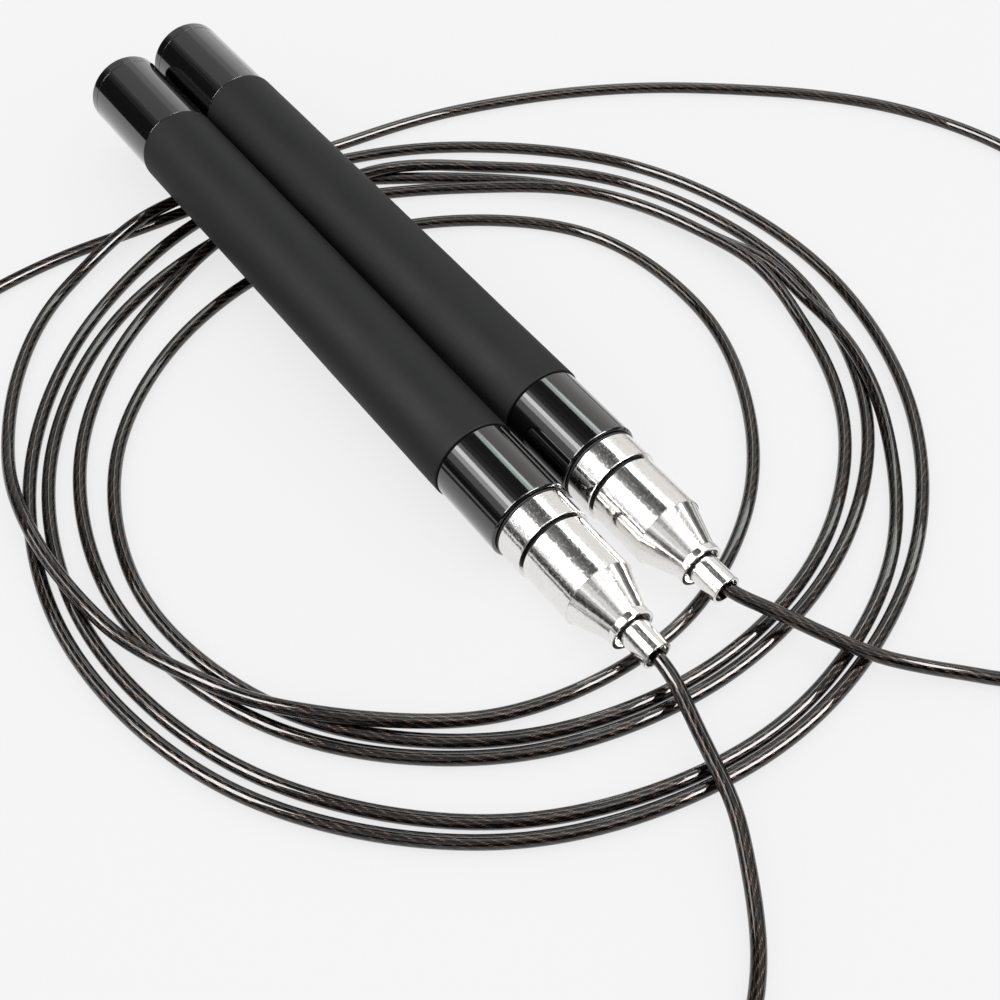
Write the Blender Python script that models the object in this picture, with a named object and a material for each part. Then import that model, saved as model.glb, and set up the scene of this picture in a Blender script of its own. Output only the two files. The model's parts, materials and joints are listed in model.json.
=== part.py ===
"""Speed jump rope: two ball-bearing handles lying side by side on their coiled wire cable.

Metres, +Z up. The handles' tips point along -Y. Each handle is built about its own axis, where
s is the distance from the gap between the fixed collar and the spinning rotor, positive
towards the tip.
"""

import math

import bmesh
import bpy
from mathutils import Matrix, Vector
from mathutils.geometry import interpolate_bezier

MM = 0.001

# handle placement: the point on the axis in the gap, yaw out of -Y and the tips' dip
GAP_X = 8.76 * MM
GAP_Y_LEFT = -64.57 * MM
GAP_Y_RIGHT = -61.15 * MM
HANDLE_YAW = math.radians(0.16)
HANDLE_DIP = math.radians(2.2)

# handle tube, grip and end cap
TUBE_R = 8.0
TUBE_BORE_R = 6.6
TUBE_RECESS_R = 7.5
TUBE_REAR = -150.1
TUBE_FRONT = -6.6
GRIP_R = 8.27
GRIP_BORE_R = 7.65
GRIP_REAR = -129.0
GRIP_FRONT = -23.3
CAP_REAR = -152.6
CHAMFER = 0.35

# fixed collar with the two bearings
COLLAR_R = 7.37
COLLAR_SPIGOT_R = 6.35
COLLAR_FRONT = -0.35
COLLAR_REAR = -20.0
SHIELD_R = 6.2
BEARING_OUTER_R = 4.85
BEARING_BORE_R = 2.68
BEARING_WIDTH = 4.0
BEARING_REAR_AT = -16.6
BEARING_FRONT_AT = -4.0
BEARING_BALLS = 6
BEARING_BALL_R = 0.52
BEARING_PITCH_R = 3.75

# spinning rotor
SPINDLE_R = 2.5
SPINDLE_BORE_R = 1.65
ROTOR_R = 6.92
ROTOR_REAR = 0.35
CONE_START = 12.0
CONE_START_R = 6.74
CONE_END = 19.4
CONE_END_R = 4.1
LIP_R = 4.4
LIP_FRONT = 20.9
RECESS_R = 3.62

# push-to-release wire gripper
PLUNGER_R = 2.8
PLUNGER_BORE_R = 1.5
PLUNGER_TIP = 27.0
PLUNGER_REAR = 9.5
LOCK_BALL_R = 1.0
LOCK_BALL_AT = 14.0
LOCK_BALL_PITCH_R = 2.32
LOCK_BALLS = 3
SPRING_WIRE_R = 0.28
SPRING_MEAN_R = 2.65
SPRING_REAR = 3.6
SPRING_FRONT = 7.2
SPRING_TURNS = 3.25

# cable: the coil's outer shape and the two loose stretches
CABLE_R = 1.25
COIL_X = -1.0
COIL_Y = -29.4
COIL_INNER_R = 57.5
COIL_OUTER_R = 85.5
COIL_HEIGHT = 2.6
CABLE_INNER_END = -8.0
REST_Z = 1.3

# from the left tip over the coil, round its far left side, back in to its rear edge
LEFT_ROUTE = [
    (-9.0, -95.6, 6.3), (-10.0, -101.0, 5.6), (-12.0, -108.0, 4.75), (-15.3, -115.5, 4.2),
    (-20.6, -124.6, 2.9), (-26.2, -133.4, 1.6), (-33.5, -142.5, REST_Z), (-52.0, -150.5, REST_Z),
    (-82.0, -143.0, REST_Z), (-111.0, -115.0, REST_Z), (-127.5, -76.0, REST_Z),
    (-126.0, -32.0, REST_Z), (-108.0, 14.0, REST_Z), (-82.0, 46.0, REST_Z), (-53.9, 59.3, REST_Z),
    (-31.8, 59.7, REST_Z), (-15.0, 58.2, REST_Z), (-3.0, 57.7, REST_Z),
]
# from the right tip over the coil, round its far right side, back in to its rear edge
RIGHT_ROUTE = [
    (9.1, -91.9, 6.3), (10.6, -96.5, 5.6), (13.4, -103.5, 4.75), (17.3, -110.8, 4.2),
    (23.2, -119.2, 2.9), (30.0, -125.9, 1.6), (38.0, -130.4, REST_Z), (58.0, -131.5, REST_Z),
    (86.0, -120.5, REST_Z), (112.0, -102.0, REST_Z), (133.0, -78.0, REST_Z),
    (144.5, -52.0, REST_Z), (144.0, -27.1, REST_Z), (136.1, -6.2, REST_Z), (125.0, 9.0, REST_Z),
    (111.4, 22.1, REST_Z), (94.6, 35.4, REST_Z), (81.3, 43.2, REST_Z), (66.8, 49.5, REST_Z),
    (52.1, 54.6, REST_Z), (36.0, 57.6, REST_Z), (22.0, 57.6, REST_Z), (12.0, 56.9, REST_Z),
]
ROUTE_STEP = 9.6 * MM

BLACK_GLOSS = ((0.012, 0.012, 0.013, 1), 0.12, 0.6)
BLACK_SOFT = ((0.035, 0.035, 0.037, 1), 0.75, 0.0)
BLACK_RUBBER = ((0.01, 0.01, 0.01, 1), 0.6, 0.0)
SILVER = ((0.80, 0.79, 0.77, 1), 0.2, 1.0)
STEEL = ((0.62, 0.62, 0.63, 1), 0.25, 1.0)
BRASS = ((0.75, 0.58, 0.28, 1), 0.35, 1.0)
CABLE_BLACK = ((0.02, 0.018, 0.017, 1), 0.22, 0.0)


def clear_scene():
    for item in list(bpy.data.objects):
        bpy.data.objects.remove(item, do_unlink=True)


def material(name, look):
    colour, roughness, metallic = look
    made = bpy.data.materials.new(name)
    made.use_nodes = True
    shader = made.node_tree.nodes["Principled BSDF"]
    shader.inputs["Base Color"].default_value = colour
    shader.inputs["Roughness"].default_value = roughness
    shader.inputs["Metallic"].default_value = metallic
    made.diffuse_color = colour
    return made


def finish(name, mesh_bm, look, parent=None, smooth_angle=35):
    """Turns a bmesh into a shaded, named object with its own material."""
    bmesh.ops.remove_doubles(mesh_bm, verts=mesh_bm.verts, dist=1e-7)
    bmesh.ops.recalc_face_normals(mesh_bm, faces=mesh_bm.faces)
    mesh = bpy.data.meshes.new(name)
    mesh_bm.to_mesh(mesh)
    mesh_bm.free()
    mesh.polygons.foreach_set("use_smooth", [True] * len(mesh.polygons))
    mesh.set_sharp_from_angle(angle=math.radians(smooth_angle))
    item = bpy.data.objects.new(name, mesh)
    item.data.materials.append(material(name + "_finish", look))
    bpy.context.scene.collection.objects.link(item)
    item.parent = parent
    return item


def lathe(profile, segments, centre=(0.0, 0.0)):
    """A closed solid turned about Z from a closed profile of (s, r) points in millimetres."""
    made = bmesh.new()
    rings = []
    for s, r in profile:
        ring = []
        for k in range(1 if r == 0 else segments):
            a = 2 * math.pi * k / segments
            x, y = centre[0] + r * math.cos(a), centre[1] + r * math.sin(a)
            ring.append(made.verts.new((x * MM, y * MM, s * MM)))
        rings.append(ring)
    for i, ring in enumerate(rings):
        other = rings[(i + 1) % len(rings)]
        if len(ring) == 1 and len(other) == 1:
            continue
        for k in range(segments):
            n = (k + 1) % segments
            corners = [ring[k % len(ring)], ring[n % len(ring)]]
            corners += [other[n % len(other)], other[k % len(other)]]
            made.faces.new(list(dict.fromkeys(corners)))
    return made


def add_ball(made, centre, radius, columns, rows):
    """Adds a ball with its poles along Z to a bmesh, in millimetres."""
    place = Matrix.Translation(Vector(centre) * MM)
    bmesh.ops.create_uvsphere(
        made, u_segments=columns, v_segments=rows, radius=radius * MM, matrix=place
    )


def boolean(item, cutter, operation):
    cutter.display_type = "WIRE"
    cutter.hide_render = True
    step = item.modifiers.new(operation.title(), "BOOLEAN")
    step.operation = operation
    step.solver = "EXACT"
    step.object = cutter


def tube_curve(name, points, radius, look, parent=None, sides=2):
    """A round bar with closed ends through a list of points in metres."""
    curve = bpy.data.curves.new(name, "CURVE")
    curve.dimensions = "3D"
    curve.bevel_depth = radius * MM
    curve.bevel_resolution = sides
    curve.use_fill_caps = True
    spline = curve.splines.new("POLY")
    spline.points.add(len(points) - 1)
    for place, point in zip(spline.points, points):
        place.co = (*point, 1)
    spline.use_smooth = True
    item = bpy.data.objects.new(name, curve)
    curve.materials.append(material(name + "_finish", look))
    bpy.context.scene.collection.objects.link(item)
    item.parent = parent
    return item


def smooth_route(points, step):
    """Even points along a smooth curve through the given ones."""
    count = len(points)
    fine = []
    for i in range(count - 1):
        before, after = points[max(i - 1, 0)], points[min(i + 2, count - 1)]
        span = (points[i + 1] - points[i]).length
        lead = (points[i + 1] - before).normalized() * span / 3
        trail = (after - points[i]).normalized() * span / 3
        piece = interpolate_bezier(points[i], points[i] + lead,
                                   points[i + 1] - trail, points[i + 1], 24)
        fine += piece[:-1]
    fine.append(points[-1])
    total = sum((b - a).length for a, b in zip(fine, fine[1:]))
    wanted = max(2, round(total / step))
    out, walked, nth = [fine[0]], 0.0, 1
    for a, b in zip(fine, fine[1:]):
        length = (b - a).length
        while nth < wanted and walked + length >= total * nth / wanted:
            out.append(a.lerp(b, (total * nth / wanted - walked) / length))
            nth += 1
        walked += length
    out.append(fine[-1])
    for point in out:
        point.z = max(point.z, REST_Z * MM)
    return out


def build_frames(side, sign, gap_y):
    """The empties of one handle: fixed, spinning, ball cages and plunger."""
    yaw = sign * HANDLE_YAW
    along = Vector((math.sin(yaw) * math.cos(HANDLE_DIP),
                    -math.cos(yaw) * math.cos(HANDLE_DIP), -math.sin(HANDLE_DIP)))
    across = Vector((math.cos(yaw), math.sin(yaw), 0.0))
    up = along.cross(across)
    rise = (TUBE_R * math.cos(HANDLE_DIP)
            + (TUBE_FRONT - CHAMFER) * math.sin(HANDLE_DIP)) * MM
    turn = Matrix((across, up, along)).transposed().to_4x4()
    frame = bpy.data.objects.new("handle_frame_" + side, None)
    frame.matrix_world = Matrix.Translation((sign * GAP_X, gap_y, rise)) @ turn
    bpy.context.scene.collection.objects.link(frame)
    axes = {"fixed": frame}
    for part, above in (("spin", "fixed"), ("cages", "fixed"), ("plunger", "spin")):
        axes[part] = bpy.data.objects.new(part + "_axis_" + side, None)
        axes[part].parent = axes[above]
        bpy.context.scene.collection.objects.link(axes[part])
    return axes


def build_body(side, fixed):
    """Grip, tube, end cap, collar and seals: what the hand holds."""
    finish("handle_tube_" + side, lathe([
        (TUBE_REAR, TUBE_BORE_R), (TUBE_REAR, TUBE_R - 0.15), (TUBE_REAR + 0.15, TUBE_R),
        (GRIP_REAR - 0.3, TUBE_R), (GRIP_REAR - 0.3, TUBE_RECESS_R),
        (GRIP_FRONT + 0.3, TUBE_RECESS_R), (GRIP_FRONT + 0.3, TUBE_R),
        (TUBE_FRONT - CHAMFER, TUBE_R), (TUBE_FRONT, TUBE_R - CHAMFER),
        (TUBE_FRONT, TUBE_BORE_R),
    ], 32), BLACK_GLOSS, fixed)
    finish("grip_sleeve_" + side, lathe([
        (GRIP_REAR, GRIP_BORE_R), (GRIP_REAR, GRIP_R - 0.2), (GRIP_REAR + 0.35, GRIP_R),
        (GRIP_FRONT - 0.2, GRIP_R), (GRIP_FRONT, GRIP_R - 0.12), (GRIP_FRONT, GRIP_BORE_R),
    ], 32), BLACK_SOFT, fixed)
    finish("end_cap_" + side, lathe([
        (CAP_REAR, 0), (CAP_REAR, TUBE_R - 0.6), (CAP_REAR + 0.6, TUBE_R),
        (TUBE_REAR - 0.45, TUBE_R), (TUBE_REAR - 0.3, TUBE_R - 0.15),
        (TUBE_REAR - 0.3, TUBE_BORE_R - 0.3), (TUBE_REAR + 8.0, TUBE_BORE_R - 0.3),
        (TUBE_REAR + 8.0, TUBE_BORE_R - 1.6), (TUBE_REAR + 0.2, TUBE_BORE_R - 1.6),
        (TUBE_REAR + 0.2, 0),
    ], 32), BLACK_GLOSS, fixed)
    flange = TUBE_FRONT + 0.6
    finish("bearing_collar_" + side, lathe([
        (COLLAR_REAR, 4.0), (COLLAR_REAR, COLLAR_SPIGOT_R - 0.3),
        (COLLAR_REAR + 0.3, COLLAR_SPIGOT_R), (flange, COLLAR_SPIGOT_R), (flange, COLLAR_R),
        (COLLAR_FRONT - 0.2, COLLAR_R), (COLLAR_FRONT, COLLAR_R - 0.2),
        (COLLAR_FRONT, SHIELD_R + 0.2), (-1.6, SHIELD_R + 0.2), (-1.6, 5.0),
        (-6.3, 5.0), (-6.3, 4.4), (-14.3, 4.4), (-14.3, 5.0), (-18.9, 5.0), (-18.9, 4.0),
    ], 32), SILVER, fixed)
    finish("collar_seal_" + side, lathe([
        (TUBE_FRONT + 0.12, COLLAR_SPIGOT_R + 0.15), (TUBE_FRONT + 0.12, 7.4),
        (TUBE_FRONT + 0.48, 7.4), (TUBE_FRONT + 0.48, COLLAR_SPIGOT_R + 0.15),
    ], 32), BLACK_RUBBER, fixed)
    finish("gap_shield_" + side, lathe([
        (-1.35, 3.3), (-1.35, SHIELD_R), (-0.15, SHIELD_R), (-0.15, 3.3),
    ], 32), BLACK_RUBBER, fixed)


def build_bearing(side, place, at, axes):
    """One ball bearing: outer ring, inner ring, and balls held by their cage."""
    low, high = at - BEARING_WIDTH / 2, at + BEARING_WIDTH / 2
    outer_wall, inner_wall = BEARING_PITCH_R + 0.68, BEARING_PITCH_R - 0.68
    finish("bearing_%s_outer_%s" % (place, side), lathe([
        (low, outer_wall), (low, BEARING_OUTER_R - 0.1), (low + 0.1, BEARING_OUTER_R),
        (high - 0.1, BEARING_OUTER_R), (high, BEARING_OUTER_R - 0.1), (high, outer_wall),
    ], 20), STEEL, axes["fixed"])
    finish("bearing_%s_inner_%s" % (place, side), lathe([
        (low, BEARING_BORE_R), (low, inner_wall), (high, inner_wall), (high, BEARING_BORE_R),
    ], 20), STEEL, axes["spin"])
    cage = finish("bearing_%s_cage_%s" % (place, side), lathe([
        (at - 0.55, 3.55), (at - 0.55, 3.95), (at + 0.55, 3.95), (at + 0.55, 3.55),
    ], 16), BRASS, axes["cages"])
    balls = bmesh.new()
    for k in range(BEARING_BALLS):
        a = 2 * math.pi * (k + 0.25) / BEARING_BALLS
        spot = (BEARING_PITCH_R * math.cos(a), BEARING_PITCH_R * math.sin(a), at)
        add_ball(balls, spot, BEARING_BALL_R, 8, 4)
    ball_set = finish("ball_set_%s_%s" % (place, side), balls, STEEL, axes["cages"], 60)
    boolean(cage, ball_set, "UNION")


def build_spindle(side, spin):
    """Hollow spindle, the spacer between the inner rings, and the nut behind them."""
    finish("spindle_" + side, lathe([
        (-23.6, SPINDLE_BORE_R), (-23.6, SPINDLE_R - 0.3), (-23.3, SPINDLE_R),
        (-1.75, SPINDLE_R), (-1.75, 2.95), (0.6, 2.95), (0.6, 4.15), (3.2, 4.15),
        (3.2, SPINDLE_BORE_R),
    ], 20), STEEL, spin)
    finish("bearing_spacer_" + side, lathe([
        (-14.3, BEARING_BORE_R), (-14.3, 3.2), (-6.3, 3.2), (-6.3, BEARING_BORE_R),
    ], 20), STEEL, spin)
    made = bmesh.new()
    rings = []
    for s, outer, hexagon in ((-18.9, 3.1, 0), (-20.6, 3.1, 0), (-20.6, 3.9, 1), (-23.1, 3.9, 1),
                              (-23.1, BEARING_BORE_R, 0), (-18.9, BEARING_BORE_R, 0)):
        ring = []
        for k in range(24):
            a = 2 * math.pi * k / 24
            flat = math.cos(math.pi / 6) / math.cos((a % (math.pi / 3)) - math.pi / 6)
            r = outer * (flat if hexagon else 1.0) * MM
            ring.append(made.verts.new((r * math.cos(a), r * math.sin(a), s * MM)))
        rings.append(ring)
    for i, ring in enumerate(rings):
        other = rings[(i + 1) % len(rings)]
        for k in range(24):
            n = (k + 1) % 24
            made.faces.new((ring[k], ring[n], other[n], other[k]))
    finish("retaining_nut_" + side, made, STEEL, spin, 20)


def taper_radius(s):
    """Bore of the gripper's taper inside the rotor at s."""
    return 3.2 + (16.2 - s) / 7.2 * 1.1


def build_rotor(side, axes):
    """Rotor shell, plunger with its three gripping balls, and the spring."""
    finish("rotor_body_" + side, lathe([
        (ROTOR_REAR, 4.4), (ROTOR_REAR, ROTOR_R - 0.2), (ROTOR_REAR + 0.2, ROTOR_R),
        (CONE_START, ROTOR_R), (CONE_START, CONE_START_R), (CONE_END, CONE_END_R),
        (CONE_END + 0.35, LIP_R - 0.05), (CONE_END + 0.8, LIP_R), (LIP_FRONT - 0.3, LIP_R - 0.12),
        (LIP_FRONT, LIP_R - 0.42), (LIP_FRONT, RECESS_R), (19.2, RECESS_R), (19.2, 3.2),
        (16.2, 3.2), (9.0, taper_radius(9.0)), (8.4, 4.4),
    ], 32), SILVER, axes["spin"])
    plunger = finish("lock_plunger_" + side, lathe([
        (PLUNGER_TIP, 2.3), (PLUNGER_TIP, PLUNGER_R - 0.15), (PLUNGER_TIP - 0.2, PLUNGER_R),
        (18.8, PLUNGER_R), (18.8, 2.98), (10.4, 2.98), (10.4, 3.45), (PLUNGER_REAR, 3.45),
        (PLUNGER_REAR, 2.0), (6.0, 2.0), (6.0, PLUNGER_BORE_R), (25.6, PLUNGER_BORE_R),
    ], 20), SILVER, axes["plunger"])
    pockets = bmesh.new()
    for k in range(LOCK_BALLS):
        turn = Matrix.Rotation(2 * math.pi * k / LOCK_BALLS + math.pi / 2, 4, "Z")
        lean = Matrix.Rotation(math.pi / 2, 4, "Y")
        place = turn @ Matrix.Translation((2.6 * MM, 0, LOCK_BALL_AT * MM)) @ lean
        bmesh.ops.create_cone(pockets, cap_ends=True, segments=12, radius1=1.15 * MM,
                              radius2=1.15 * MM, depth=2.9 * MM, matrix=place)
    boolean(plunger, finish("pocket_cutter_" + side, pockets, STEEL, axes["plunger"]),
            "DIFFERENCE")
    for k in range(LOCK_BALLS):
        a = 2 * math.pi * k / LOCK_BALLS + math.pi / 2
        ball = bmesh.new()
        spot = (LOCK_BALL_PITCH_R * math.cos(a), LOCK_BALL_PITCH_R * math.sin(a), LOCK_BALL_AT)
        add_ball(ball, spot, LOCK_BALL_R, 10, 7)
        finish("lock_ball_%d_%s" % (k + 1, side), ball, STEEL, axes["plunger"], 60)
    steps = round(SPRING_TURNS * 8)
    coil = []
    for k in range(steps + 1):
        a = 2 * math.pi * SPRING_TURNS * k / steps
        s = SPRING_REAR + SPRING_WIRE_R
        s += (SPRING_FRONT - SPRING_REAR - 2 * SPRING_WIRE_R) * k / steps
        coil.append(Vector((SPRING_MEAN_R * math.cos(a), SPRING_MEAN_R * math.sin(a), s)) * MM)
    tube_curve("plunger_spring_" + side, coil, SPRING_WIRE_R, STEEL, axes["spin"], 1)


def build_cable(side, frame, route):
    """A loose stretch of cable from inside a handle's gripper to the coil's edge."""
    inside = [Vector((0, 0, s * MM)) for s in (CABLE_INNER_END, 6.0, 17.0, PLUNGER_TIP - 1.0)]
    points = [frame.matrix_world @ point for point in inside]
    points += [Vector(point) * MM for point in route]
    path = smooth_route(points, ROUTE_STEP)
    tube_curve("cable_" + side, path, CABLE_R, CABLE_BLACK)


clear_scene()
for handle_side, handle_sign, handle_y in (("left", -1, GAP_Y_LEFT), ("right", 1, GAP_Y_RIGHT)):
    handle = build_frames(handle_side, handle_sign, handle_y)
    build_body(handle_side, handle["fixed"])
    build_bearing(handle_side, "rear", BEARING_REAR_AT, handle)
    build_bearing(handle_side, "front", BEARING_FRONT_AT, handle)
    build_spindle(handle_side, handle["spin"])
    build_rotor(handle_side, handle)
    build_cable(handle_side, handle["fixed"],
                LEFT_ROUTE if handle_side == "left" else RIGHT_ROUTE)
finish("cable_coil", lathe([
    (0.0, COIL_INNER_R + 0.5), (0.0, COIL_OUTER_R - 0.5), (0.6, COIL_OUTER_R),
    (COIL_HEIGHT - 0.6, COIL_OUTER_R), (COIL_HEIGHT, COIL_OUTER_R - 0.6),
    (COIL_HEIGHT, COIL_INNER_R + 0.6), (COIL_HEIGHT - 0.6, COIL_INNER_R), (0.6, COIL_INNER_R),
], 48, (COIL_X, COIL_Y)), CABLE_BLACK)
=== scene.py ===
"""Finished look of a speed jump rope: two ball-bearing handles lying on their coiled wire cable.

Metres, +Z up. The handles point along -Y. Handle pieces are turned about the handle's own axis:
s is the distance in millimetres from the gap between collar and rotor, positive to the tip.
"""

import json
import math

import bmesh
import bpy
import numpy as np
from mathutils import Matrix, Vector


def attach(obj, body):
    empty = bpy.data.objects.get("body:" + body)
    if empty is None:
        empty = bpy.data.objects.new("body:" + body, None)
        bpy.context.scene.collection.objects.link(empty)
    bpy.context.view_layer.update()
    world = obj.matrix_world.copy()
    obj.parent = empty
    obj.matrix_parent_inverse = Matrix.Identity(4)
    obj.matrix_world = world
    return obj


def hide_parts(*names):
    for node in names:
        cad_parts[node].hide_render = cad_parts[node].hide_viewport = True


MM = 0.001
SIDES = ("left", "right")

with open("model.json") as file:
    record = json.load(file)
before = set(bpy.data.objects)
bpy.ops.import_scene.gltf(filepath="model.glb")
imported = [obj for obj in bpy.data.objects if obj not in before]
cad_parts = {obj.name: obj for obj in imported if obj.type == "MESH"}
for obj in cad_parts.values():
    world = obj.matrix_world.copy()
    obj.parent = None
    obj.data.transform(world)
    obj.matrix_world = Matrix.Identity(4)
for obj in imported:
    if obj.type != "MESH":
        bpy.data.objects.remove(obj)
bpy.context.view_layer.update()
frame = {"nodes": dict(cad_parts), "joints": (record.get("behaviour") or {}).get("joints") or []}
joints = {joint["name"]: joint for joint in frame["joints"]}


# ---------------------------------------------------------------- places

def handle_frame(side):
    """The handle's own frame: origin in the gap, Z along the axis to the tip, Y up."""
    spin = joints["spin_" + side]
    along = Vector(spin["axis"]).normalized()
    across = Vector((0, 0, 1)).cross(along).normalized()
    up = along.cross(across)
    turn = Matrix((across, up, along)).transposed().to_4x4()
    return Matrix.Translation(Vector(spin["pos_m"])) @ turn


HANDLE = {side: handle_frame(side) for side in SIDES}


def on_axis(side, s, x=0.0, y=0.0):
    """A point in the row frame from a handle's own millimetres."""
    return HANDLE[side] @ (Vector((x, y, s)) * MM)


# ---------------------------------------------------------------- camera

AIM = Vector((-6.0, -45.3, 0.0)) * MM
AIM_DISTANCE = 285.84 * MM
HEADING = math.radians(36.27)
ELEVATION = math.radians(48.73)
LENS = 57.68

eye = bpy.data.cameras.new("camera")
eye.lens = LENS
eye.sensor_width = 36.0
eye.clip_start = 0.01
eye.clip_end = 20.0
camera = bpy.data.objects.new("camera", eye)
forward = Vector((math.sin(HEADING) * math.cos(ELEVATION),
                  math.cos(HEADING) * math.cos(ELEVATION), -math.sin(ELEVATION)))
camera.rotation_euler = forward.to_track_quat("-Z", "Y").to_euler()
camera.location = AIM - forward * AIM_DISTANCE
bpy.context.scene.collection.objects.link(camera)
bpy.context.scene.camera = camera
bpy.context.scene.view_settings.view_transform = "Standard"


# ---------------------------------------------------------------- material nodes

def new_material(name, **sockets):
    """A principled material with the sockets that are the same all over."""
    made = bpy.data.materials.new(name)
    made.use_nodes = True
    shader = made.node_tree.nodes["Principled BSDF"]
    for key, value in sockets.items():
        shader.inputs[key.replace("_", " ")].default_value = value
    return made, made.node_tree, shader


def add(tree, kind, inputs=None, **settings):
    """A node with its settings; an input is a value or another node's output."""
    made = tree.nodes.new("ShaderNode" + kind)
    for key, value in settings.items():
        setattr(made, key, value)
    for key, value in (inputs or {}).items():
        if isinstance(value, bpy.types.NodeSocket):
            tree.links.new(value, made.inputs[key])
        else:
            made.inputs[key].default_value = value
    return made


def maths(tree, operation, *values):
    """A sum on values or other nodes' outputs."""
    made = tree.nodes.new("ShaderNodeMath")
    made.operation = operation
    for place, value in zip(made.inputs, values):
        if isinstance(value, bpy.types.NodeSocket):
            tree.links.new(value, place)
        else:
            place.default_value = value
    return made.outputs[0]


def ramp(tree, factor, *stops):
    """Colours or greys over a factor; each stop is (position, value)."""
    made = tree.nodes.new("ShaderNodeValToRGB")
    places = made.color_ramp.elements
    while len(places) < len(stops):
        places.new(0.5)
    for place, (at, value) in zip(places, stops):
        place.position = at
    for place, (at, value) in zip(places, stops):
        place.color = (*value, 1) if isinstance(value, tuple) else (value, value, value, 1)
    tree.links.new(factor, made.inputs["Fac"])
    return made.outputs["Color"]


def noise(tree, where, scale, detail=3.0, rough=0.5):
    """Noise whose grain is about 1/scale metres across."""
    made = add(tree, "TexNoise", {"Vector": where, "Scale": scale, "Detail": detail,
                                  "Roughness": rough})
    return made.outputs[0]


def turned(tree, stretch):
    """Piece coordinates squeezed across the axis, so that grain runs round the piece."""
    where = add(tree, "TexCoord").outputs["Object"]
    return add(tree, "Mapping", {"Vector": where, "Scale": (stretch, stretch, 1.0)}).outputs[0]


def bump(tree, height, distance, below=None):
    """A bump of that depth in metres, on top of another where one is given."""
    inputs = {"Height": height, "Distance": distance, "Strength": 1.0}
    if below is not None:
        inputs["Normal"] = below
    return add(tree, "Bump", inputs).outputs[0]


def mixed(tree, factor, low, high):
    """A colour between two colours; each is a value or another node's output."""
    made = tree.nodes.new("ShaderNodeMix")
    made.data_type = "RGBA"
    for key, value in ((0, factor), (6, low), (7, high)):
        if isinstance(value, bpy.types.NodeSocket):
            tree.links.new(value, made.inputs[key])
        elif key == 0:
            made.inputs[key].default_value = value
        else:
            made.inputs[key].default_value = (*value, 1)
    return made.outputs[2]


# ---------------------------------------------------------------- materials

def silicone():
    """Matt charcoal silicone sleeve: fine moulded grain, faint handling marks."""
    made, tree, shader = new_material("grip_silicone", Specular_IOR_Level=0.2)
    where = add(tree, "TexCoord").outputs["Object"]
    grain = noise(tree, where, 5200, 2.0, 0.6)
    cloud = noise(tree, where, 85, 4.0, 0.55)
    fleck = noise(tree, where, 1500, 3.0, 0.6)
    colour = mixed(tree, cloud, (0.0050, 0.0050, 0.0056), (0.0088, 0.0087, 0.0094))
    colour = mixed(tree, ramp(tree, fleck, (0.62, 0.0), (0.78, 0.30)), colour,
                   (0.022, 0.022, 0.024))
    tree.links.new(colour, shader.inputs["Base Color"])
    tree.links.new(ramp(tree, cloud, (0.3, 0.56), (0.7, 0.66)), shader.inputs["Roughness"])
    tree.links.new(bump(tree, grain, 1.6e-5), shader.inputs["Normal"])
    return made


def lacquer():
    """Gloss black lacquered tube: deep colour with hair-fine turned lines under the coat."""
    made, tree, shader = new_material("tube_lacquer", Coat_Weight=1.0, Coat_Roughness=0.04,
                                      Coat_IOR=1.5)
    where = add(tree, "TexCoord").outputs["Object"]
    lines = noise(tree, turned(tree, 0.05), 3600, 3.0, 0.65)
    cloud = noise(tree, where, 120, 4.0, 0.55)
    tree.links.new(mixed(tree, cloud, (0.0010, 0.0010, 0.0012), (0.0026, 0.0026, 0.0028)),
                   shader.inputs["Base Color"])
    tree.links.new(ramp(tree, lines, (0.3, 0.07), (0.7, 0.13)), shader.inputs["Roughness"])
    tree.links.new(bump(tree, lines, 2.4e-6), shader.inputs["Normal"])
    tree.links.new(bump(tree, lines, 0.9e-6), shader.inputs["Coat Normal"])
    return made


def nickel(name, tint, low, high, depth):
    """Turned and satin-plated metal: sparkling fine grain over faint turning lines."""
    made, tree, shader = new_material(name, Metallic=1.0, Specular_IOR_Level=0.5)
    where = add(tree, "TexCoord").outputs["Object"]
    grain = noise(tree, where, 3400, 2.0, 0.6)
    pits = noise(tree, where, 4100, 2.0, 0.6)
    lines = noise(tree, turned(tree, 0.04), 5200, 3.0, 0.7)
    cloud = noise(tree, where, 160, 3.0, 0.5)
    darker = tuple(0.92 * part for part in tint)
    pitted = tuple(0.66 * part for part in tint)
    colour = mixed(tree, cloud, darker, tint)
    colour = mixed(tree, ramp(tree, pits, (0.58, 0.0), (0.70, 1.0)), colour, pitted)
    tree.links.new(colour, shader.inputs["Base Color"])
    tree.links.new(ramp(tree, grain, (0.48, low), (0.66, high)), shader.inputs["Roughness"])
    turning = bump(tree, lines, 0.2 * depth)
    tree.links.new(bump(tree, grain, depth, turning), shader.inputs["Normal"])
    return made


def rubber():
    """Black nitrile of the seals and shields."""
    made, tree, shader = new_material("seal_rubber", Specular_IOR_Level=0.4)
    where = add(tree, "TexCoord").outputs["Object"]
    grain = noise(tree, where, 3000, 3.0, 0.6)
    tree.links.new(mixed(tree, grain, (0.004, 0.004, 0.004), (0.012, 0.012, 0.012)),
                   shader.inputs["Base Color"])
    tree.links.new(ramp(tree, grain, (0.3, 0.45), (0.7, 0.65)), shader.inputs["Roughness"])
    tree.links.new(bump(tree, grain, 1.5e-5), shader.inputs["Normal"])
    return made


# the rope inside the coat: strands, and the length of one turn of a strand and of a wire
STRANDS = 8.0
LAY = 21.0 * MM
WIRE_LAY = 1.9 * MM


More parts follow.
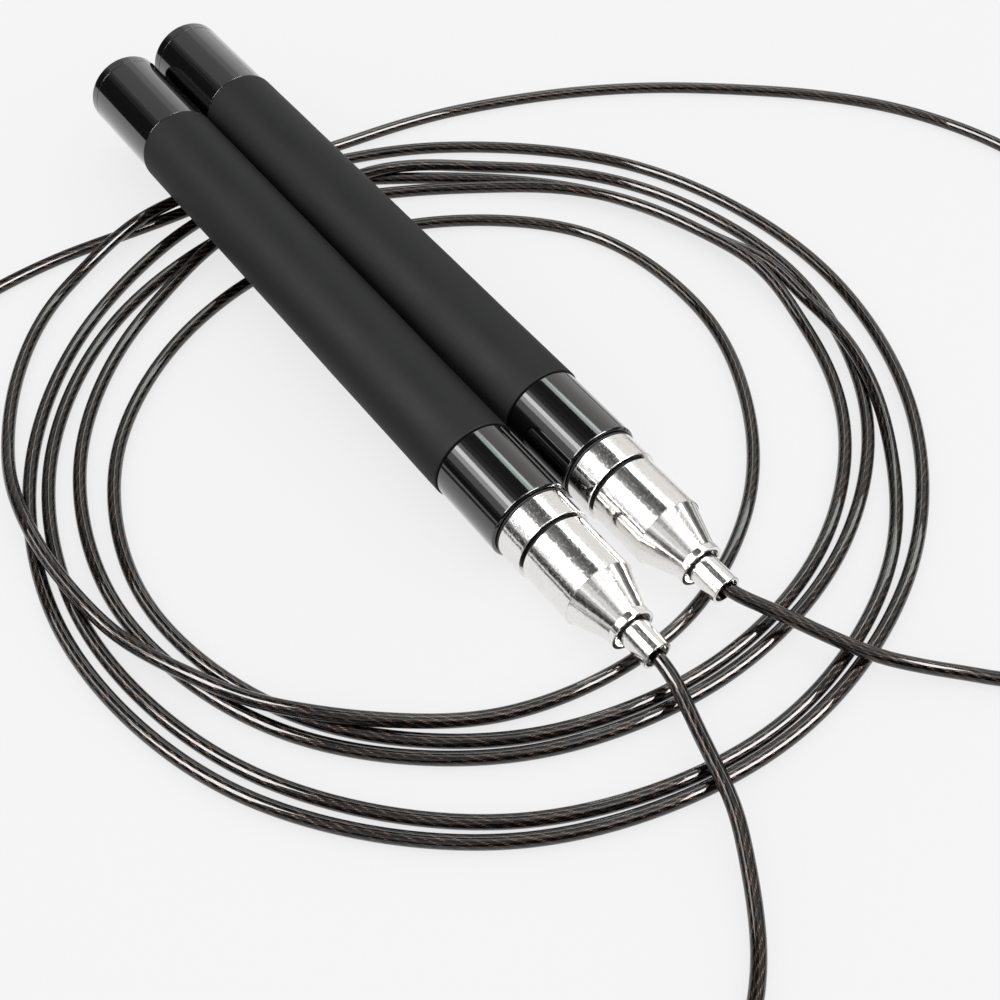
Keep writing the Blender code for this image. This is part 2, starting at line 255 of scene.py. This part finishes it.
def coated_rope():
    """Twisted steel strands seen through a smooth smoked PVC coat."""
    made, tree, shader = new_material("cable_coat", Coat_Weight=1.0, Coat_Roughness=0.03,
                                      Coat_IOR=1.52, Metallic=0.6,
                                      Specular_IOR_Level=0.05)
    place = add(tree, "UVMap", uv_map="cable_uv").outputs[0]
    parts = add(tree, "SeparateXYZ", {"Vector": place})
    around, along = parts.outputs[0], parts.outputs[1]
    strand = maths(tree, "SUBTRACT", maths(tree, "MULTIPLY", around, STRANDS),
                   maths(tree, "MULTIPLY", along, STRANDS / LAY))
    crown = maths(tree, "SINE", maths(tree, "MULTIPLY", maths(tree, "FRACT", strand), math.pi))
    wire = maths(tree, "ADD", maths(tree, "MULTIPLY", around, 3 * STRANDS),
                 maths(tree, "MULTIPLY", along, 1.0 / WIRE_LAY))
    twist = maths(tree, "SINE", maths(tree, "MULTIPLY", maths(tree, "FRACT", wire), math.pi))
    where = add(tree, "TexCoord").outputs["Object"]
    patch = noise(tree, where, 520, 3.0, 0.65)
    height = maths(tree, "ADD", maths(tree, "MULTIPLY", crown, 0.72),
                   maths(tree, "MULTIPLY", twist, 0.28))
    colour = ramp(tree, height, (0.0, (0.0004, 0.0004, 0.0004)), (0.55, (0.0008, 0.0007, 0.0006)),
                  (0.8, (0.0055, 0.0036, 0.0027)), (1.0, (0.130, 0.077, 0.052)))
    colour = mixed(tree, ramp(tree, patch, (0.38, 1.0), (0.58, 0.0)), colour,
                   (0.0008, 0.0007, 0.0006))
    tree.links.new(colour, shader.inputs["Base Color"])
    tree.links.new(ramp(tree, patch, (0.3, 0.30), (0.7, 0.42)), shader.inputs["Roughness"])
    tree.links.new(bump(tree, height, 9.0e-5), shader.inputs["Normal"])
    return made


SILICONE = silicone()
LACQUER = lacquer()
NICKEL = nickel("turned_nickel", (0.90, 0.885, 0.865), 0.08, 0.26, 6.5e-6)
STEEL = nickel("bearing_steel", (0.62, 0.62, 0.63), 0.16, 0.30, 4.0e-6)
BRASS = nickel("cage_brass", (0.72, 0.53, 0.26), 0.25, 0.42, 6.0e-6)
RUBBER = rubber()
ROPE = coated_rope()


# ---------------------------------------------------------------- turned pieces

SMOOTH_ANGLE = 50


def softened(corners, steps=5):
    """Profile points from (s, r, edge radius) corners, with every edge rounded."""
    count = len(corners)
    out = []
    for i, (s, r, edge) in enumerate(corners):
        here = Vector((s, r))
        before = Vector(corners[i - 1][:2])
        after = Vector(corners[(i + 1) % count][:2])
        if edge <= 0 or r <= 0:
            out.append(here)
            continue
        back, ahead = before - here, after - here
        cut = min(edge, 0.45 * back.length, 0.45 * ahead.length)
        start, end = here + back.normalized() * cut, here + ahead.normalized() * cut
        for k in range(steps + 1):
            t = k / steps
            out.append(start * (1 - t) ** 2 + here * (2 * t * (1 - t)) + end * t * t)
    return out


def supported(points, near=0.04, longest=1.0e9):
    """The same profile with extra rings by the edges, so that long walls shade flat."""
    out = []
    for i, here in enumerate(points):
        after = points[(i + 1) % len(points)]
        gap = after - here
        out.append(here)
        if gap.length > 6 * near:
            out.append(here + gap.normalized() * near)
            pieces = max(1, math.ceil(gap.length / longest))
            for k in range(1, pieces):
                out.append(here + gap * (k / pieces))
            out.append(after - gap.normalized() * near)
    return out


def turned_piece(name, side, corners, material, nodes, body, segments=144,
                 longest=1.0e9, wobble=0.0):
    """A closed solid turned about a handle's axis, riding on that body."""
    profile = supported(softened(corners), longest=longest)
    made = bmesh.new()
    rings = []
    for point in profile:
        ring = []
        for k in range(1 if point.y <= 0 else segments):
            a = 2 * math.pi * k / segments
            r = point.y
            if wobble:
                r += wobble * (math.sin(0.21 * point.x + 2 * a)
                               + math.sin(0.083 * point.x + 3 * a + 1.3)
                               + 0.6 * math.sin(0.47 * point.x - a + 0.4))
            ring.append(made.verts.new(Vector((r * math.cos(a), r * math.sin(a), point.x)) * MM))
        rings.append(ring)
    for i, ring in enumerate(rings):
        other = rings[(i + 1) % len(rings)]
        if len(ring) == 1 and len(other) == 1:
            continue
        for k in range(segments):
            n = (k + 1) % segments
            corners_of = [ring[k % len(ring)], ring[n % len(ring)],
                          other[n % len(other)], other[k % len(other)]]
            made.faces.new(list(dict.fromkeys(corners_of)))
    return placed(name, side, made, material, nodes, body)


def placed(name, side, made, material, nodes, body):
    """Turns a bmesh in handle coordinates into a finished, riding piece."""
    bmesh.ops.recalc_face_normals(made, faces=made.faces)
    mesh = bpy.data.meshes.new(name)
    made.to_mesh(mesh)
    made.free()
    mesh.polygons.foreach_set("use_smooth", [True] * len(mesh.polygons))
    mesh.set_sharp_from_angle(angle=math.radians(SMOOTH_ANGLE))
    item = bpy.data.objects.new(name, mesh)
    mesh.materials.append(material)
    item.matrix_world = HANDLE[side]
    bpy.context.scene.collection.objects.link(item)
    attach(item, body)
    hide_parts(*nodes)
    return item


# millimetres along and out from the handle's axis
TUBE_REAR, TUBE_FRONT, TUBE_R, TUBE_BORE_R = -150.1, -6.6, 8.0, 6.6
GRIP_REAR, GRIP_FRONT, GRIP_R, RECESS_R = -129.0, -23.3, 8.27, 7.5
CAP_REAR = -152.6
COLLAR_R, SPIGOT_R, COLLAR_FRONT = 7.37, 6.35, -0.35
SHIELD_R = 6.2
ROTOR_R, ROTOR_REAR = 6.92, 0.35
CONE_START, CONE_START_R, CONE_END, CONE_END_R = 12.0, 6.74, 19.4, 4.02
LIP_R, LIP_FRONT, MOUTH_R = 4.24, 20.8, 3.62
PLUNGER_R, PLUNGER_TIP, BORE_R = 2.8, 27.0, 1.5


def build_handle(side):
    """Every visible piece of one handle, from its rear to its tip."""
    turned_piece("grip_" + side, side, [
        (GRIP_REAR, 7.62, 0), (GRIP_REAR, GRIP_R, 0.32), (GRIP_FRONT, GRIP_R, 0.28),
        (GRIP_FRONT, 7.62, 0),
    ], SILICONE, ["grip_sleeve_" + side], "handles", longest=3.0,
        wobble=0.012)
    turned_piece("tube_" + side, side, [
        (TUBE_REAR, TUBE_BORE_R, 0), (TUBE_REAR, TUBE_R, 0.05), (GRIP_REAR - 0.3, TUBE_R, 0.1),
        (GRIP_REAR - 0.3, RECESS_R, 0), (GRIP_FRONT + 0.3, RECESS_R, 0),
        (GRIP_FRONT + 0.3, TUBE_R, 0.1), (TUBE_FRONT - 0.32, TUBE_R, 0.14),
        (TUBE_FRONT, TUBE_R - 0.32, 0.1), (TUBE_FRONT, TUBE_BORE_R, 0),
    ], LACQUER, ["handle_tube_" + side], "handles", longest=4.0)
    turned_piece("cap_" + side, side, [
        (CAP_REAR + 0.25, 0, 0), (CAP_REAR + 0.25, 5.4, 0.2), (CAP_REAR, 5.7, 0.2),
        (CAP_REAR, TUBE_R, 0.7), (TUBE_REAR - 0.1, TUBE_R, 0.05),
        (TUBE_REAR - 0.1, TUBE_BORE_R - 0.3, 0), (TUBE_REAR + 8.0, TUBE_BORE_R - 0.3, 0.2),
        (TUBE_REAR + 8.0, TUBE_BORE_R - 1.6, 0.2), (TUBE_REAR + 0.2, TUBE_BORE_R - 1.6, 0),
        (TUBE_REAR + 0.2, 0, 0),
    ], LACQUER, ["end_cap_" + side], "handles")
    turned_piece("collar_" + side, side, [
        (-20.0, 4.0, 0), (-20.0, SPIGOT_R, 0.3), (TUBE_FRONT + 0.6, SPIGOT_R, 0),
        (TUBE_FRONT + 0.6, COLLAR_R, 0.12), (COLLAR_FRONT, COLLAR_R, 0.17),
        (COLLAR_FRONT, SHIELD_R + 0.2, 0.08), (-1.6, SHIELD_R + 0.2, 0), (-1.6, 5.0, 0),
        (-6.3, 5.0, 0), (-6.3, 4.4, 0), (-14.3, 4.4, 0), (-14.3, 5.0, 0), (-18.9, 5.0, 0),
        (-18.9, 4.0, 0),
    ], NICKEL, ["bearing_collar_" + side], "handles")
    turned_piece("seal_" + side, side, [
        (TUBE_FRONT + 0.12, SPIGOT_R + 0.12, 0), (TUBE_FRONT + 0.12, 7.4, 0.1),
        (TUBE_FRONT + 0.48, 7.4, 0.1), (TUBE_FRONT + 0.48, SPIGOT_R + 0.12, 0),
    ], RUBBER, ["collar_seal_" + side], "handles")
    turned_piece("shield_" + side, side, [
        (-1.35, 3.3, 0), (-1.35, SHIELD_R, 0.1), (-0.15, SHIELD_R, 0.15), (-0.15, 5.3, 0.1),
        (-0.4, 5.1, 0.1), (-0.4, 4.0, 0.1), (-0.15, 3.8, 0.1), (-0.15, 3.3, 0.05),
    ], RUBBER, ["gap_shield_" + side], "handles")
    turned_piece("rotor_shell_" + side, side, [
        (ROTOR_REAR, 4.4, 0.05), (ROTOR_REAR, ROTOR_R, 0.17), (CONE_START, ROTOR_R, 0.05),
        (CONE_START, CONE_START_R, 0), (CONE_END, CONE_END_R, 0.04),
        (CONE_END + 0.04, CONE_END_R - 0.14, 0), (CONE_END + 0.18, CONE_END_R - 0.14, 0),
        (CONE_END + 0.2, LIP_R, 0.04), (LIP_FRONT, LIP_R, 0.06),
        (LIP_FRONT, MOUTH_R, 0.05), (19.2, MOUTH_R, 0), (19.2, 3.2, 0), (16.2, 3.2, 0),
        (9.0, 4.3, 0), (8.4, 4.4, 0),
    ], NICKEL, ["rotor_body_" + side], "rotor_" + side)
    turned_piece("plunger_sleeve_" + side, side, [
        (PLUNGER_TIP, 2.3, 0.08), (PLUNGER_TIP, PLUNGER_R, 0.12), (18.8, PLUNGER_R, 0),
        (18.8, 2.98, 0.05), (10.4, 2.98, 0), (10.4, 3.45, 0.1), (9.5, 3.45, 0.1), (9.5, 2.0, 0),
        (6.0, 2.0, 0.1), (6.0, BORE_R, 0.1), (24.4, BORE_R, 0.1),
        (24.6, 2.2, 0.1),
    ], NICKEL, ["lock_plunger_" + side], "plunger_" + side, segments=96)


for each_side in SIDES:
    build_handle(each_side)


# ---------------------------------------------------------------- cable

CABLE_D = 2.5
REST_Z = 1.27
COIL_CENTRE = (-1.0, -29.4)

# from the left tip, down over the coil's front and round its far left side (x, y, z)
LEFT_RUN = [
    (-9.0, -94.5, 6.5), (-9.5, -97.5, 6.0), (-10.5, -100.5, 5.5), (-12.5, -107.0, 5.0),
    (-16.0, -118.5, 4.0), (-19.5, -125.0, 3.0), (-23.5, -131.5, 2.0), (-28.0, -137.5, REST_Z),
    (-34.0, -143.0, REST_Z), (-42.0, -148.0, REST_Z), (-54.0, -151.0, REST_Z),
    (-70.0, -149.0, REST_Z), (-92.0, -136.0, REST_Z), (-112.0, -113.0, REST_Z),
    (-125.0, -82.0, REST_Z), (-128.5, -45.0, REST_Z), (-121.0, -9.0, REST_Z),
    (-104.0, 23.0, REST_Z), (-81.0, 47.0, REST_Z), (-63.0, 57.0, REST_Z),
    (-43.0, 60.0, REST_Z), (-20.0, 58.5, REST_Z), (-9.0, 58.0, REST_Z), (6.0, 58.0, REST_Z),
]
# the wound turns, clockwise from the coil's back: radius, how far the turn closes in from its
# start to its end, how far it lies off centre and towards which heading, and how oval it is
# and along which heading
STATIONS = 12
FIRST_HEADING = 60.0
TURNS = [
    (83.5, 0.0, 1.5, 0.0, 2.5, 50.0),
    (77.5, 0.0, 3.0, 235.0, 1.5, 75.0),
    (73.5, 0.0, 4.5, 40.0, 2.5, 25.0),
    (67.5, 9.0, 0.0, 0.0, 2.0, 15.0),
]
# the loose innermost round, which widens as it leaves the coil
LEAVING_RUN = [
    (29.5, 23.5, REST_Z), (52.0, 1.5, REST_Z), (55.0, -29.5, REST_Z), (44.0, -55.5, REST_Z),
    (25.5, -75.0, REST_Z), (-1.0, -86.5, REST_Z), (-32.0, -83.5, REST_Z),
    (-60.5, -63.5, REST_Z), (-76.5, -29.5, REST_Z), (-73.5, 12.5, REST_Z),
    (-46.5, 49.0, REST_Z), (-1.0, 62.0, REST_Z),
]
# from the coil's back edge round its far right side and in to the right tip
RIGHT_RUN = [
    (13.0, 60.5, REST_Z), (26.5, 58.5, REST_Z), (39.5, 57.0, REST_Z), (52.0, 54.5, REST_Z),
    (67.0, 49.5, REST_Z), (81.5, 43.0, REST_Z), (96.5, 34.0, REST_Z), (111.5, 22.0, REST_Z),
    (125.5, 8.5, REST_Z), (136.5, -7.0, REST_Z), (143.5, -27.0, REST_Z),
    (144.0, -50.0, REST_Z), (136.5, -74.0, REST_Z), (121.0, -96.5, REST_Z),
    (99.0, -115.5, REST_Z), (76.0, -128.5, REST_Z), (57.0, -133.5, REST_Z),
    (44.5, -131.5, REST_Z), (35.5, -125.0, REST_Z), (32.5, -121.5, 1.5), (28.5, -118.0, 2.0),
    (25.5, -115.5, 3.0), (22.5, -112.5, 3.5), (18.0, -105.5, 4.5), (14.0, -97.5, 5.5),
    (12.0, -93.5, 6.0), (10.0, -90.5, 6.3),
]


def cable_controls():
    """Control points of the whole cable from inside the left handle to inside the right."""
    inside = (12.0, 17.0, 22.0, 26.0)
    points = [on_axis("left", s) / MM for s in inside]
    points += [Vector(point) for point in LEFT_RUN]
    for radius, closing, off, off_heading, oval, oval_heading in TURNS:
        for station in range(STATIONS):
            heading = math.radians(FIRST_HEADING - 360.0 * station / STATIONS)
            reach = radius + closing * (0.5 - station / (STATIONS - 1))
            reach += off * math.cos(heading - math.radians(off_heading))
            reach += oval * math.cos(2 * (heading - math.radians(oval_heading)))
            points.append(Vector((COIL_CENTRE[0] + reach * math.cos(heading),
                                  COIL_CENTRE[1] + reach * math.sin(heading), REST_Z)))
    points += [Vector(point) for point in LEAVING_RUN]
    points += [Vector(point) for point in RIGHT_RUN]
    points += [on_axis("right", s) / MM for s in reversed(inside)]
    return np.array([tuple(point) for point in points])


def centripetal(points, per_span=24):
    """A smooth curve through the points whose speed follows their spacing."""
    points = np.vstack([2 * points[0] - points[1], points, 2 * points[-1] - points[-2]])
    out = []
    for i in range(1, len(points) - 2):
        p0, p1, p2, p3 = points[i - 1:i + 3]
        t1 = np.linalg.norm(p1 - p0) ** 0.5
        t2 = t1 + np.linalg.norm(p2 - p1) ** 0.5
        t3 = t2 + np.linalg.norm(p3 - p2) ** 0.5
        t = np.linspace(t1, t2, per_span, endpoint=False)[:, None]
        a1 = (t1 - t) / t1 * p0 + t / t1 * p1
        a2 = (t2 - t) / (t2 - t1) * p1 + (t - t1) / (t2 - t1) * p2
        a3 = (t3 - t) / (t3 - t2) * p2 + (t - t2) / (t3 - t2) * p3
        b1 = (t2 - t) / t2 * a1 + t / t2 * a2
        b2 = (t3 - t) / (t3 - t1) * a2 + (t - t1) / (t3 - t1) * a3
        out.append((t2 - t) / (t2 - t1) * b1 + (t - t1) / (t2 - t1) * b2)
    return np.vstack([*out, points[-2][None]])


def evened(line, step):
    """The same line with points an even step apart."""
    walked = np.concatenate([[0], np.cumsum(np.linalg.norm(np.diff(line, axis=0), axis=1))])
    wanted = np.linspace(0, walked[-1], max(2, round(walked[-1] / step)) + 1)
    return np.column_stack([np.interp(wanted, walked, line[:, k]) for k in range(3)])


def relaxed(values, reach, keep=6):
    """Values smoothed by a bell of that reach in points; the ends stay."""
    bell = np.exp(-0.5 * (np.arange(-3 * reach, 3 * reach + 1) / reach) ** 2)
    bell /= bell.sum()
    padded = np.pad(values, 3 * reach, mode="reflect", reflect_type="odd")
    out = np.convolve(padded, bell, "valid")
    out[:keep], out[-keep:] = values[:keep], values[-keep:]
    return out


# in points of the evened line, 1 mm apart: half a hump's length, and the nearest point along
# the cable that counts as another strand
HUMP = 17
NEIGHBOUR = 14
# where the earlier strand lies on top: the stretch by the left tip, and one crossing
LEFT_TIP_POINTS = 75
CROSSING_HEADINGS = (325, 360)
CROSSING_RADII = (73, 82)


def stacked(line, earlier_above):
    """Lifts the upper strand over the lower one wherever two strands cross."""
    flat = line[:, :2]
    count = len(line)
    pairs = []
    for i in range(count):
        gap = np.hypot(*(flat[i + NEIGHBOUR:] - flat[i]).T)
        for j in np.nonzero(gap < CABLE_D)[0]:
            pairs.append((i, i + NEIGHBOUR + int(j), float(gap[j])))
    height = line[:, 2].copy()
    base = line[:, 2].copy()
    bell = np.cos(np.linspace(-math.pi / 2, math.pi / 2, 2 * HUMP + 1)) ** 2
    for _ in range(4):
        need = base.copy()
        for early, late, gap in pairs:
            low, high = (late, early) if earlier_above(early) else (early, late)
            need[high] = max(need[high], height[low] + math.sqrt(CABLE_D ** 2 - gap * gap) + 0.04)
        lift = need - base
        raised = np.zeros(count)
        for i in np.nonzero(lift > 1e-6)[0]:
            low, high = max(0, i - HUMP), min(count, i + HUMP + 1)
            part = lift[i] * bell[low - i + HUMP:high - i + HUMP]
            raised[low:high] = np.maximum(raised[low:high], part)
        height = np.maximum(relaxed(base + raised, 3), need)
    line = line.copy()
    line[:, 2] = relaxed(height, 2)
    return line


def cable_line():
    """The cable's centre line in millimetres, resting on the floor and on itself."""
    line = evened(centripetal(cable_controls()), 1.0)
    for axis in (0, 1):
        line[:, axis] = relaxed(line[:, axis], 3)
    centre = np.array(COIL_CENTRE)
    angle = np.degrees(np.arctan2(line[:, 1] - centre[1], line[:, 0] - centre[0])) % 360
    radius = np.hypot(line[:, 0] - centre[0], line[:, 1] - centre[1])

    def earlier_on_top(early):
        crossing = (CROSSING_HEADINGS[0] < angle[early] < CROSSING_HEADINGS[1]
                    and CROSSING_RADII[0] < radius[early] < CROSSING_RADII[1])
        return early < LEFT_TIP_POINTS or crossing

    line[:, 2] = np.maximum(line[:, 2], REST_Z)
    return stacked(line, earlier_on_top)


def tube_mesh(name, line, radius, sides=16):
    """A round bar with rounded ends along a line, and coordinates along and around it."""
    made = bmesh.new()
    layer = made.loops.layers.uv.new("cable_uv")
    tangents = np.gradient(line, axis=0)
    tangents /= np.linalg.norm(tangents, axis=1)[:, None]
    side = np.cross(tangents[0], (0, 0, 1.0))
    side /= np.linalg.norm(side)
    walked = np.concatenate([[0], np.cumsum(np.linalg.norm(np.diff(line, axis=0), axis=1))])
    rings = []
    for point, tangent in zip(line, tangents):
        side = side - tangent * np.dot(side, tangent)
        side /= np.linalg.norm(side)
        other = np.cross(tangent, side)
        ring = []
        for k in range(sides):
            a = 2 * math.pi * k / sides
            spot = point + radius * (math.cos(a) * side + math.sin(a) * other)
            ring.append(made.verts.new(spot * MM))
        rings.append(ring)
    for i in range(len(rings) - 1):
        for k in range(sides):
            n = (k + 1) % sides
            face = made.faces.new((rings[i][k], rings[i][n], rings[i + 1][n], rings[i + 1][k]))
            spots = ((k, i), (k + 1, i), (k + 1, i + 1), (k, i + 1))
            for loop, (u, v) in zip(face.loops, spots):
                loop[layer].uv = (u / sides, walked[v] * MM)
    for ring, point, turn_back in ((rings[0], line[0] - 0.5 * tangents[0], True),
                                   (rings[-1], line[-1] + 0.5 * tangents[-1], False)):
        tip = made.verts.new(point * MM)
        for k in range(sides):
            n = (k + 1) % sides
            made.faces.new((ring[n], ring[k], tip) if turn_back else (ring[k], ring[n], tip))
    bmesh.ops.recalc_face_normals(made, faces=made.faces)
    mesh = bpy.data.meshes.new(name)
    made.to_mesh(mesh)
    made.free()
    mesh.polygons.foreach_set("use_smooth", [True] * len(mesh.polygons))
    item = bpy.data.objects.new(name, mesh)
    bpy.context.scene.collection.objects.link(item)
    return item


route = cable_line()
cable = tube_mesh("cable", route, 0.5 * CABLE_D)
cable.data.materials.append(ROPE)
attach(cable, "handles")
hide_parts("cable_coil", "cable_left", "cable_right")


# ---------------------------------------------------------------- inner parts

for inner_side in SIDES:
    for part in ("bearing_rear_outer", "bearing_front_outer", "bearing_rear_inner",
                 "bearing_front_inner", "spindle", "bearing_spacer", "retaining_nut",
                 "plunger_spring", "lock_ball_1", "lock_ball_2", "lock_ball_3"):
        inner = frame["nodes"][part + "_" + inner_side]
        inner.data.materials.clear()
        inner.data.materials.append(STEEL)
    for part in ("bearing_rear_cage", "bearing_front_cage"):
        inner = frame["nodes"][part + "_" + inner_side]
        inner.data.materials.clear()
        inner.data.materials.append(BRASS)


# ---------------------------------------------------------------- stage and light

def staged(name, made, material):
    """Turns a bmesh into a stage object, which isn't part of the rope."""
    mesh = bpy.data.meshes.new(name)
    made.to_mesh(mesh)
    made.free()
    mesh.materials.append(material)
    item = bpy.data.objects.new(name, mesh)
    bpy.context.scene.collection.objects.link(item)
    return item


def stage_plane(name, corners, material):
    made = bmesh.new()
    made.faces.new([made.verts.new(corner) for corner in corners])
    staged(name, made, material)


WHITE = (1.0, 1.0, 1.0)
GREENISH = (0.92, 1.0, 0.97)
WARM = (1.0, 0.985, 0.965)
CARD_DISTANCE = 0.9
BOX_DISTANCE = 0.87
DOME_RADIUS = 3.0
DOME_GLOW = 0.035


def floor_material():
    made, tree, shader = new_material("pale_floor", Roughness=0.9, Specular_IOR_Level=0.0,
                                      Emission_Strength=0.745)
    where = add(tree, "TexCoord").outputs["Object"]
    cloud = noise(tree, where, 3.0, 2.0, 0.5)
    tree.links.new(mixed(tree, cloud, (0.165, 0.165, 0.167), (0.175, 0.175, 0.177)),
                   shader.inputs["Base Color"])
    shader.inputs["Emission Color"].default_value = (1.0, 1.0, 1.0, 1)
    return made


def glow(name, strength, colour=WHITE):
    """A plain light-giving material."""
    made = bpy.data.materials.new(name)
    made.use_nodes = True
    tree = made.node_tree
    tree.nodes.clear()
    shine = add(tree, "Emission", {"Color": (*colour, 1), "Strength": strength})
    out = add(tree, "OutputMaterial")
    tree.links.new(shine.outputs[0], out.inputs["Surface"])
    return made


FLOOR_Z = -0.03 * MM
FLOOR_HALF = 6.0
stage_plane("floor", [(-FLOOR_HALF, -FLOOR_HALF, FLOOR_Z), (FLOOR_HALF, -FLOOR_HALF, FLOOR_Z),
                      (FLOOR_HALF, FLOOR_HALF, FLOOR_Z), (-FLOOR_HALF, FLOOR_HALF, FLOOR_Z)],
            floor_material())


def only_mirrored(item):
    """A card that shows in reflections and nowhere else."""
    item.visible_camera = False
    item.visible_diffuse = False
    item.visible_transmission = False
    item.visible_volume_scatter = False
    item.visible_shadow = False


def card(name, low, high, strength, colour, near, far):
    """A long card over the handles between two angles from straight up, positive to +X."""
    steps = 6
    made = bmesh.new()
    rows = []
    for k in range(steps + 1):
        a = math.radians(low + (high - low) * k / steps)
        x, z = CARD_DISTANCE * math.sin(a), CARD_DISTANCE * math.cos(a)
        rows.append((made.verts.new((x, near, z)), made.verts.new((x, far, z))))
    for (a, b), (c, d) in zip(rows, rows[1:]):
        made.faces.new((a, b, d, c))
    only_mirrored(staged(name, made, glow(name + "_glow", strength, colour)))


def softbox(name, corners, strength, colour=WHITE, steps=6):
    """A curved light patch overhead; a corner is its lean to +X and to +Y in degrees."""
    made = bmesh.new()
    rows = []
    first, second, third, fourth = (Vector(corner) for corner in corners)
    for i in range(steps + 1):
        row = []
        for j in range(steps + 1):
            lean = first.lerp(second, i / steps).lerp(fourth.lerp(third, i / steps), j / steps)
            polar = math.radians(lean.length)
            flat = lean.normalized() * BOX_DISTANCE * math.sin(polar)
            row.append(made.verts.new((flat.x, flat.y, BOX_DISTANCE * math.cos(polar))))
        rows.append(row)
    for i in range(steps):
        for j in range(steps):
            made.faces.new((rows[i][j], rows[i + 1][j], rows[i + 1][j + 1], rows[i][j + 1]))
    only_mirrored(staged(name, made, glow(name + "_glow", strength, colour)))


# each section along the handles: where it starts and ends in Y, in metres, and its bands,
# each with its angles from straight up, strength and tint
SECTIONS = {
    "front": (-0.9, 0.15, [
        (-74, -65, 0.12, WHITE), (-65, -57, 0.45, WHITE), (-57, -48, 1.0, WHITE),
        (-48, -31, 0.7, WHITE), (-31, -15, 0.38, WHITE), (-15, -5, 0.85, WHITE),
        (-5, 3, 2.2, WHITE), (3, 10, 1.0, WHITE), (10, 28, 0.85, WARM), (28, 36, 0.55, WARM),
        (36, 45, 0.38, WARM), (45, 61, 0.85, WARM), (61, 70, 0.35, WARM), (70, 88, 0.1, WARM),
    ]),
    "middle": (0.15, 0.8, [
        (-77, -69, 0.12, WHITE), (-69, -52, 0.75, WHITE), (-52, -41, 3.0, WHITE),
        (-41, -31, 7.0, WHITE), (-31, -22, 1.1, WHITE), (-22, -12, 0.24, WHITE),
        (-12, 0, 0.12, WHITE), (0, 17, 0.08, WHITE), (20, 31, 3.4, GREENISH),
        (31, 88, 0.84, WARM),
    ]),
    "rear": (0.8, 2.4, [
        (-40, -30, 0.12, WHITE), (-30, -22, 0.25, WHITE), (-22, 0, 0.5, WHITE),
        (0, 25, 0.5, WHITE), (25, 45, 0.7, WHITE), (45, 88, 0.95, WHITE),
    ]),
}


def dark_dome():
    """The unlit studio above, which only reflections see."""
    made = bmesh.new()
    bmesh.ops.create_icosphere(made, subdivisions=4, radius=DOME_RADIUS)
    gone = [face for face in made.faces if face.calc_center_median().z < 0.0]
    bmesh.ops.delete(made, geom=gone, context="FACES")
    only_mirrored(staged("studio_dome", made, glow("studio_dark", DOME_GLOW)))


dark_dome()
for section, (near, far, bands) in SECTIONS.items():
    for nth, (low, high, strength, tint) in enumerate(bands):
        card("card_%s_%d" % (section, nth), low, high, strength, tint, near, far)

softbox("box_front", [(15, -21), (36, -20), (42, -50), (8, -50)], 20.0)
softbox("box_left", [(-21, 1), (-21, 14), (-56, 23), (-56, -9)], 18.0)
softbox("box_middle", [(1, -23), (14, -23), (8, -46), (-4, -44)], 2.6)
softbox("box_green", [(24, 27), (29, 29), (60, -11), (55, -14)], 5.5, GREENISH)
softbox("box_far", [(38, 36), (60, 42), (56, 54), (38, 50)], 2.0)

world = bpy.data.worlds.new("studio")
world.use_nodes = True
bpy.context.scene.world = world
sky = world.node_tree.nodes.get("Background")
sky.inputs["Color"].default_value = (1.0, 1.0, 1.0, 1)
sky.inputs["Strength"].default_value = 1.0
